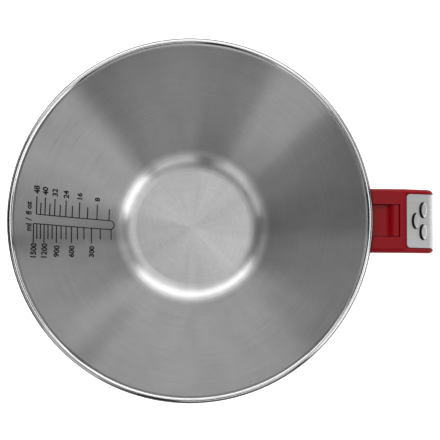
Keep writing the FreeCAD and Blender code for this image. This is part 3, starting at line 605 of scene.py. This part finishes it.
class BowlSettings(bpy.types.PropertyGroup):
    colour: bpy.props.FloatVectorProperty(
        name="Steel colour", description="Reflected colour of the stainless steel",
        subtype="COLOR", size=3, default=(0.62, 0.62, 0.625), min=0.0, max=1.0,
    )
    roughness: bpy.props.FloatProperty(
        name="Roughness", description="Width of the reflections on the brushed wall",
        default=0.29, min=0.1, max=1.0,
    )
    brushing: bpy.props.FloatProperty(
        name="Brushing", description="How strongly the polishing lines stretch reflections",
        default=0.92, min=0.0, max=1.0,
    )
    # Painted highlight: lightens the steel's colour on the corner round the floor
    corner_polish: bpy.props.FloatProperty(
        name="Corner highlight", description="Brightness of the highlighted corner round the floor against the wall",
        default=1.55, min=0.5, max=2.0,
    )
    edge_shade: bpy.props.FloatProperty(
        name="Edge shade", description="Tone of the rolled rim's outer edge", default=0.04, min=0.0, max=1.5,
    )
    rim_height: bpy.props.FloatProperty(
        name="Rim height", description="Height above the table where the bright rolled rim starts",
        default=CAD_BOX[1].z - RIM_BAND, unit="LENGTH",
    )
    rim_radius: bpy.props.FloatProperty(
        name="Rim radius", description="Radius of the middle of the rolled rim",
        default=-CAD_BOX[0].x - RIM_INSET, unit="LENGTH",
    )


class MarksSettings(bpy.types.PropertyGroup):
    turn: bpy.props.FloatProperty(
        name="Turn", description="Turn of the printed marks round the bowl", default=0.0, subtype="ANGLE",
    )
    line_width: bpy.props.FloatProperty(
        name="Line width", description="Width of the printed lines, in millimetres",
        default=0.72, min=0.1, max=3.0,
    )
    text_height: bpy.props.FloatProperty(
        name="Figure height", description="Type size of the printed figures before their squeeze, mm",
        default=5.6, min=1.0,
    )
    colour: bpy.props.FloatVectorProperty(
        name="Ink colour", description="Colour of the printed marks", subtype="COLOR", size=3,
        default=(0.008, 0.008, 0.008), min=0.0, max=1.0,
    )


class HandleSettings(bpy.types.PropertyGroup):
    colour: bpy.props.FloatVectorProperty(
        name="Handle colour", description="Colour of the moulded handle and base", subtype="COLOR", size=3,
        default=(0.28, 0.0002, 0.005), min=0.0, max=1.0,
    )
    roughness: bpy.props.FloatProperty(
        name="Roughness", description="Width of the highlights on the moulding",
        default=0.3, min=0.0, max=1.0,
    )


class StudioSettings(bpy.types.PropertyGroup):
    distance: bpy.props.FloatProperty(
        name="Camera distance", description="Distance of the camera from the middle of the rim",
        default=0.8, unit="LENGTH",
    )
    tilt: bpy.props.FloatProperty(
        name="Tilt", description="Lean of the view from straight down",
        default=math.radians(4.5), subtype="ANGLE",
    )
    roll: bpy.props.FloatProperty(
        name="Roll", description="Turn of the view about its own axis",
        default=math.radians(0.5), subtype="ANGLE",
    )
    lens: bpy.props.FloatProperty(
        name="Lens", description="Focal length in millimetres", default=94.8, min=10.0,
    )
    strength: bpy.props.FloatProperty(
        name="Light", description="Strength of all the softboxes together", default=1.0, min=0.0,
    )


class ScaleSettings(bpy.types.PropertyGroup):
    bowl: bpy.props.PointerProperty(type=BowlSettings)
    marks: bpy.props.PointerProperty(type=MarksSettings)
    handle: bpy.props.PointerProperty(type=HandleSettings)
    studio: bpy.props.PointerProperty(type=StudioSettings)


# ---- Operators ---------------------------------------------------------------------------

class SCALE_OT_bowl(bpy.types.Operator):
    """Finish the bowl in lathe-polished steel"""
    bl_idname = "kitchen_scale.bowl"
    bl_label = "Bowl"

    def execute(self, context):
        steel = bowl_steel(context.scene.kitchen_scale.bowl)
        for name in ("bowl", "bowl_floor"):
            paint_node(name, steel)
        return {"FINISHED"}


class SCALE_OT_marks(bpy.types.Operator):
    """Print the volume marks inside the bowl, worked out from its true volume"""
    bl_idname = "kitchen_scale.marks"
    bl_label = "Volume marks"

    upper: bpy.props.FloatProperty(
        name="Ounce side", description="Offset of the ounce line, mm", default=3.65,
    )
    lower: bpy.props.FloatProperty(
        name="Millilitre side", description="Offset of the ml line, mm", default=3.1,
    )

    def execute(self, context):
        look = context.scene.kitchen_scale.marks
        table = fill_radii()
        art = WallPrint(look.turn, PRINT_LIFT)
        width = look.line_width
        outer_ml = radius_at(1500.0, table)
        outer_oz = radius_at(48 * ML_PER_FL_OZ, table)
        inner = radius_at(100.0, table) + 1.2
        # Both lines, joined by a round end near the floor
        art.line((inner, -self.upper), (outer_oz, -self.upper), width)
        art.line((inner, self.lower), (outer_ml, self.lower), width)
        middle = (self.lower - self.upper) / 2
        half = (self.lower + self.upper) / 2
        arc = [math.pi * i / 12 for i in range(13)]
        art.ribbon([(inner - half * math.sin(a), middle + half * math.cos(a)) for a in arc], width)
        for millilitres in range(100, 1501, 100):
            radius = radius_at(float(millilitres), table)
            long = millilitres % 300 == 0
            grow = (radius - inner) / (outer_ml - inner)
            reach = ML_LONG + ML_LONG_GROWTH * grow if long else ML_SHORT + ML_SHORT_GROWTH * grow
            art.line((radius, self.lower), (radius - 0.3, self.lower + reach), width)
            if long:
                side = self.lower + ML_FIGURE + ML_FIGURE_GROWTH * grow
                art.text(str(millilitres), (radius - 0.9, side), look.text_height)
        for ounces in range(4, 49, 4):
            radius = radius_at(ounces * ML_PER_FL_OZ, table)
            long = ounces % 8 == 0
            grow = (radius - inner) / (outer_ml - inner)
            reach = OZ_LONG + OZ_LONG_GROWTH * grow if long else OZ_SHORT
            art.line((radius, -self.upper), (radius - 0.3, -self.upper - reach), width)
            if long:
                side = -self.upper - OZ_FIGURE - OZ_FIGURE_GROWTH * grow
                art.text(str(ounces), (radius - 0.6, side), look.text_height)
        # The unit label, past the outermost mark
        for words, side, share in (("ml", 6.0, 1.0), ("/", 0.4, 1.0), ("fl oz", -7.4, 0.95)):
            art.text(words, (outer_ml + UNIT_GAP, side), look.text_height * share)
        made = art.build("volume_marks")
        made.data.materials.append(ink("mark_ink", look.colour))
        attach(made, "bowl")
        return {"FINISHED"}


class SCALE_OT_handle(bpy.types.Operator):
    """Finish the moulded handle, its cover and the rim catch"""
    bl_idname = "kitchen_scale.handle"
    bl_label = "Handle"

    def execute(self, context):
        look = context.scene.kitchen_scale.handle
        red = moulded("handle_red", look.colour, look.roughness, 0.12, gloss=0.18, dust=0.02)
        for name in ("handle_shell", "handle_cover", "catch_lever"):
            paint_node(name, red)
        grip = moulded("soft_grey_rubber", (0.05, 0.05, 0.05), 0.75, 0.4, dust=0.2)
        paint_node("catch_pad", grip)
        bright = sheet_steel("bright_fixings", (0.62, 0.62, 0.6), 0.26, 0.0, EVEN, 1600.0)
        for name in ("catch_pin", "catch_spring", "handle_screws", "spigot_screws"):
            paint_node(name, bright)
        return {"FINISHED"}


class SCALE_OT_fascia(bpy.types.Operator):
    """Finish the brushed steel fascia and its push-buttons"""
    bl_idname = "kitchen_scale.fascia"
    bl_label = "Fascia and buttons"

    def execute(self, context):
        steel = sheet_steel("fascia_steel", (0.70, 0.70, 0.71), 0.45, 0.5, (0.05, 1.0, 0.05), 1100.0)
        paint_node("fascia_plate", steel)
        for name in ("button_power_tare", "button_unit", "button_timer"):
            paint_node(name, button_steel(name))
        return {"FINISHED"}


class SCALE_OT_display(bpy.types.Operator):
    """Finish the display and set its figures"""
    bl_idname = "kitchen_scale.display"
    bl_label = "Display"

    def execute(self, context):
        paint_node("display_window", clear_window("window_clear"))
        paint_node("lcd_glass", lcd_material("lcd_grey", (0.30, 0.34, 0.28)))
        self.figures()
        return {"FINISHED"}

    def figures(self):
        """Three seven-segment noughts, a point and a g, as dark shapes just off the glass."""
        low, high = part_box("lcd_glass")
        proud, columns = 0.00012, (-0.0085, -0.0023, 0.0039)
        x = high.x + proud
        middle = Vector((x, (low.y + high.y) / 2, (low.z + high.z) / 2))
        verts, faces = [], []

        def bar(y0, z0, y1, z1, half):
            """Pointed segment between two points of the display plane."""
            along = Vector((0.0, y1 - y0, z1 - z0))
            side = Vector((0.0, -along.z, along.y)).normalized() * half
            nose = along.normalized() * half
            start, end = Vector((0.0, y0, z0)), Vector((0.0, y1, z1))
            ring = [
                start, start + nose + side, end - nose + side,
                end, end - nose - side, start + nose - side,
            ]
            first = len(verts)
            verts.extend(middle + p for p in ring)
            faces.append(tuple(range(first, first + 6)))

        half_w, half_h, thick, gap = 0.0019, 0.0019, 0.00042, 0.0002
        for y in columns:
            for side in (-1, 1):
                for level in (-1, 1):
                    bar(y + side * half_w, level * gap, y + side * half_w, level * 2 * half_h, thick)
            for level in (-1, 1):
                bar(y - half_w, level * 2 * half_h, y + half_w, level * 2 * half_h, thick)
        bar(0.0004, -0.0042, 0.0011, -0.0035, 0.0004)
        # Small unit letter beside the figures
        y, z, size = 0.0092, -0.0024, 0.0009
        strokes = (
            ((-1, 1), (1, 1)), ((-1, 1), (-1, -1)), ((-1, -1), (1, -1)),
            ((1, 1), (1, -3)), ((1, -3), (-1, -3)),
        )
        for a, b in strokes:
            bar(y + a[0] * size, z + a[1] * size, y + b[0] * size, z + b[1] * size, 0.0002)
        mesh = bpy.data.meshes.new("display_figures")
        mesh.from_pydata(verts, [], faces)
        made = bpy.data.objects.new("display_figures", mesh)
        bpy.context.scene.collection.objects.link(made)
        made.data.materials.append(ink("lcd_black", (0.012, 0.013, 0.012)))
        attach(made, "platform")


class SCALE_OT_base(bpy.types.Operator):
    """Finish the weighing base that the bowl stands in"""
    bl_idname = "kitchen_scale.base"
    bl_label = "Base"

    def execute(self, context):
        look = context.scene.kitchen_scale.handle
        red = moulded("platform_red", look.colour, look.roughness, 0.12, gloss=0.18, dust=0.03)
        paint_node("platform", red)
        black = moulded("tray_black", (0.02, 0.02, 0.02), 0.55, 0.5, dust=0.2, grain_scale=1900.0)
        paint_node("base_tray", black)
        rubber = moulded("base_rubber", (0.03, 0.03, 0.03), 0.8, 0.6, dust=0.35, grain_scale=1500.0)
        for name in ("foot_ring", "seat_ring"):
            paint_node(name, rubber)
        return {"FINISHED"}


class SCALE_OT_weighing(bpy.types.Operator):
    """Finish the load cell and what fastens it"""
    bl_idname = "kitchen_scale.weighing"
    bl_label = "Load cell"

    def execute(self, context):
        milled = sheet_steel("cell_aluminium", (0.78, 0.78, 0.79), 0.38, 0.3, (0.06, 1.0, 1.0), 700.0)
        paint_node("load_cell", milled)
        paint_node("gauge_potting", moulded("potting_white", (0.72, 0.72, 0.68), 0.6, 0.5, dust=0.1))
        zinc = sheet_steel("zinc_screws", (0.6, 0.6, 0.57), 0.32, 0.0, EVEN, 1500.0)
        for name in ("cell_base_screws", "cell_platform_screws", "overload_stop_screw", "cell_spacer"):
            paint_node(name, zinc)
        return {"FINISHED"}


class SCALE_OT_works(bpy.types.Operator):
    """Finish the boards, their parts and the leads"""
    bl_idname = "kitchen_scale.works"
    bl_label = "Electronics"

    def execute(self, context):
        board = circuit_board("board_green", (0.01, 0.10, 0.035))
        for name in ("main_board", "display_board", "button_board"):
            paint_node(name, board)
        epoxy = moulded("chip_black", (0.015, 0.015, 0.016), 0.5, 0.35)
        for name in ("board_chips", "display_board_chip", "button_switches"):
            paint_node(name, epoxy)
        zinc = sheet_steel("board_zinc", (0.6, 0.6, 0.57), 0.3, 0.0, EVEN, 1500.0)
        for name in ("board_screws", "display_board_screws"):
            paint_node(name, zinc)
        paint_node("board_connectors", moulded("socket_white", (0.75, 0.74, 0.66), 0.45, 0.2))
        brass = sheet_steel("buzzer_brass", (0.72, 0.52, 0.22), 0.35, 0.0, EVEN, 1200.0)
        paint_node("buzzer", brass)
        paint_node("display_gasket", moulded("gasket_black", (0.02, 0.02, 0.02), 0.85, 0.6))
        paint_node("zebra_strips", moulded("zebra_pink", (0.55, 0.22, 0.25), 0.6, 0.3))
        for name, colour in (
            ("display_harness", (0.012, 0.012, 0.012)),
            ("load_cell_lead", (0.25, 0.25, 0.26)),
            ("battery_lead", (0.4, 0.01, 0.01)),
        ):
            paint_node(name, moulded("sheath_" + name, colour, 0.5, 0.3, dust=0.1))
        return {"FINISHED"}


class SCALE_OT_battery(bpy.types.Operator):
    """Finish the battery, its holder and its cap"""
    bl_idname = "kitchen_scale.battery"
    bl_label = "Battery"

    def execute(self, context):
        black = moulded("cap_black", (0.025, 0.025, 0.025), 0.5, 0.45, dust=0.15)
        for name in ("battery_cap", "battery_holder"):
            paint_node(name, black)
        paint_node("battery_seal", moulded("seal_rubber", (0.06, 0.06, 0.06), 0.8, 0.5))
        nickel = sheet_steel("cell_nickel", (0.66, 0.66, 0.63), 0.25, 0.0, EVEN, 1300.0)
        paint_node("coin_cell", nickel)
        brass = sheet_steel("contact_brass", (0.74, 0.55, 0.25), 0.28, 0.0, EVEN, 1300.0)
        paint_node("battery_contacts", brass)
        return {"FINISHED"}


# Softboxes: name, azimuth, elevation, distance, width, height, power.
# A wall of the bowl shows the lights on the opposite side. The low row reaches only the walls
# over the rim, and the high row also reaches the corner round the floor.
SOFTBOXES = (
    ("low_right", -18.0, 17.0, 1.5, 1.6, 0.7, 4.0),
    ("low_back_right", 35.0, 17.0, 1.5, 1.0, 0.7, 3.0),
    ("low_back", 95.0, 17.0, 1.5, 2.0, 0.7, 5.0),
    ("low_left", 155.0, 17.0, 1.5, 0.8, 0.7, 1.0),
    ("low_front_left", 225.0, 17.0, 1.5, 0.6, 0.7, 1.5),
    ("high_right", -25.0, 45.0, 1.5, 0.8, 0.7, 4.0),
    ("high_back", 95.0, 45.0, 1.5, 2.4, 0.7, 12.0),
    ("high_left", 215.0, 45.0, 1.5, 1.2, 0.7, 2.0),
    ("high_front", 285.0, 45.0, 1.5, 0.8, 0.7, 1.5),
    ("overhead", 45.0, 80.0, 1.6, 0.8, 0.8, 3.0),
)


class SCALE_OT_studio(bpy.types.Operator):
    """Set the floor, softboxes, world and camera"""
    bl_idname = "kitchen_scale.studio"
    bl_label = "Studio"

    def execute(self, context):
        look = context.scene.kitchen_scale.studio
        self.floor()
        self.world(context.scene)
        for name, azimuth, elevation, distance, width, height, power in SOFTBOXES:
            self.softbox(name, azimuth, elevation, distance, (width, height), power * look.strength)
        self.camera(context.scene, look)
        context.scene.view_settings.view_transform = "Standard"
        return {"FINISHED"}

    def floor(self):
        mesh = bpy.data.meshes.new("studio_floor")
        turns = ((-1, -1), (1, -1), (1, 1), (-1, 1))
        corners = [(x * STAGE_HALF, y * STAGE_HALF, 0) for x, y in turns]
        mesh.from_pydata(corners, [], [(0, 1, 2, 3)])
        made = bpy.data.objects.new("studio_floor", mesh)
        made.location.z = -STAGE_DROP
        bpy.context.scene.collection.objects.link(made)
        material = start_material(
            "studio_white", Base_Color=(0.9, 0.9, 0.9, 1.0), Roughness=0.9,
            Emission_Color=(1.0, 1.0, 1.0, 1.0), Emission_Strength=0.85,
        )[0]
        made.data.materials.append(material)

    def world(self, scene):
        made = scene.world or bpy.data.worlds.new("studio_world")
        scene.world = made
        made.use_nodes = True
        background = made.node_tree.nodes["Background"]
        background.inputs["Color"].default_value = (1.0, 1.0, 1.0, 1.0)
        background.inputs["Strength"].default_value = 0.02

    def softbox(self, name, azimuth, elevation, distance, size, power):
        light = bpy.data.lights.new(name, "AREA")
        light.shape = "RECTANGLE"
        light.size, light.size_y = size
        light.energy = power
        made = bpy.data.objects.new(name, light)
        a, e = math.radians(azimuth), math.radians(elevation)
        towards = Vector((math.cos(a) * math.cos(e), math.sin(a) * math.cos(e), math.sin(e)))
        centre = (CAD_BOX[0] + CAD_BOX[1]) / 2
        made.location = centre + towards * distance
        made.rotation_euler = towards.to_track_quat("Z", "Y").to_euler()
        bpy.context.scene.collection.objects.link(made)

    def camera(self, scene, look):
        data = bpy.data.cameras.new("studio_camera")
        data.lens = look.lens
        data.sensor_width = 36.0
        made = bpy.data.objects.new("studio_camera", data)
        scene.collection.objects.link(made)
        rim_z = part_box("bowl")[1].z - RIM_INSET
        forward = Vector((0.0, math.sin(look.tilt), -math.cos(look.tilt)))
        up = Vector((0.0, math.cos(look.tilt), math.sin(look.tilt)))
        right = Vector((1.0, 0.0, 0.0))
        place = Vector((0.0, 0.0, rim_z)) - forward * look.distance + right * AIM_RIGHT - up * AIM_DOWN
        turned_right = right * math.cos(look.roll) + up * math.sin(look.roll)
        turned_up = up * math.cos(look.roll) - right * math.sin(look.roll)
        rotation = Matrix((turned_right, turned_up, -forward)).transposed().to_4x4()
        made.matrix_world = Matrix.Translation(place) @ rotation
        data.clip_start, data.clip_end = 0.01, 50.0
        scene.camera = made


class SCALE_PT_panel(bpy.types.Panel):
    """Settings and buttons for the kitchen scale's finishes, marks and studio"""
    bl_label = "Kitchen scale"
    bl_idname = "SCALE_PT_panel"
    bl_space_type = "VIEW_3D"
    bl_region_type = "UI"
    bl_category = "Scale"

    def draw(self, context):
        settings = context.scene.kitchen_scale
        for part in ("bowl", "marks", "handle", "studio"):
            box = self.layout.box()
            held = getattr(settings, part)
            for name in held.bl_rna.properties.keys():
                if name not in ("rna_type", "name"):
                    box.prop(held, name)
        for operator in OPERATORS:
            self.layout.operator(operator.bl_idname)


OPERATORS = (
    SCALE_OT_bowl,
    SCALE_OT_marks,
    SCALE_OT_handle,
    SCALE_OT_fascia,
    SCALE_OT_display,
    SCALE_OT_base,
    SCALE_OT_weighing,
    SCALE_OT_works,
    SCALE_OT_battery,
    SCALE_OT_studio,
)
CLASSES = (
    BowlSettings, MarksSettings, HandleSettings, StudioSettings, ScaleSettings, *OPERATORS, SCALE_PT_panel,
)


def register():
    for cls in CLASSES:
        bpy.utils.register_class(cls)
    bpy.types.Scene.kitchen_scale = bpy.props.PointerProperty(type=ScaleSettings)


def unregister():
    del bpy.types.Scene.kitchen_scale
    for cls in reversed(CLASSES):
        bpy.utils.unregister_class(cls)


def main():
    register()
    for operator in OPERATORS:
        space, name = operator.bl_idname.split(".")
        getattr(getattr(bpy.ops, space), name)()


if __name__ == "__main__":
    main()
